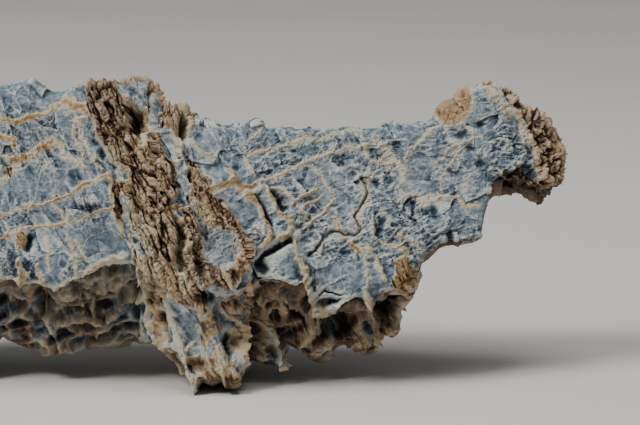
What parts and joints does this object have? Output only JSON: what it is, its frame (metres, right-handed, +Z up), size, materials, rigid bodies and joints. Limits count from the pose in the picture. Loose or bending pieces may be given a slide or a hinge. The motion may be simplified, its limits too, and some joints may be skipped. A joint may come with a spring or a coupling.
{
  "type": "aquascape stone",
  "caption": "Weathered slate-blue stone slab, veined and pitted, with a fibrous brown band and a raised crusted head; rests on two feet.",
  "frame": {"origin": "centre of the bounding box at the resting plane, under the feet", "axes": "+X towards the raised head, -Y out of the front face, +Z up"},
  "size_m": [0.2677, 0.0853, 0.1149],
  "materials": {
    "stone": "dry matt weathered stone, blue-grey slate with tan and brown veins and crust"
  },
  "bodies": {
    "root": {"stone": "stone"}
  },
  "joints": []
}
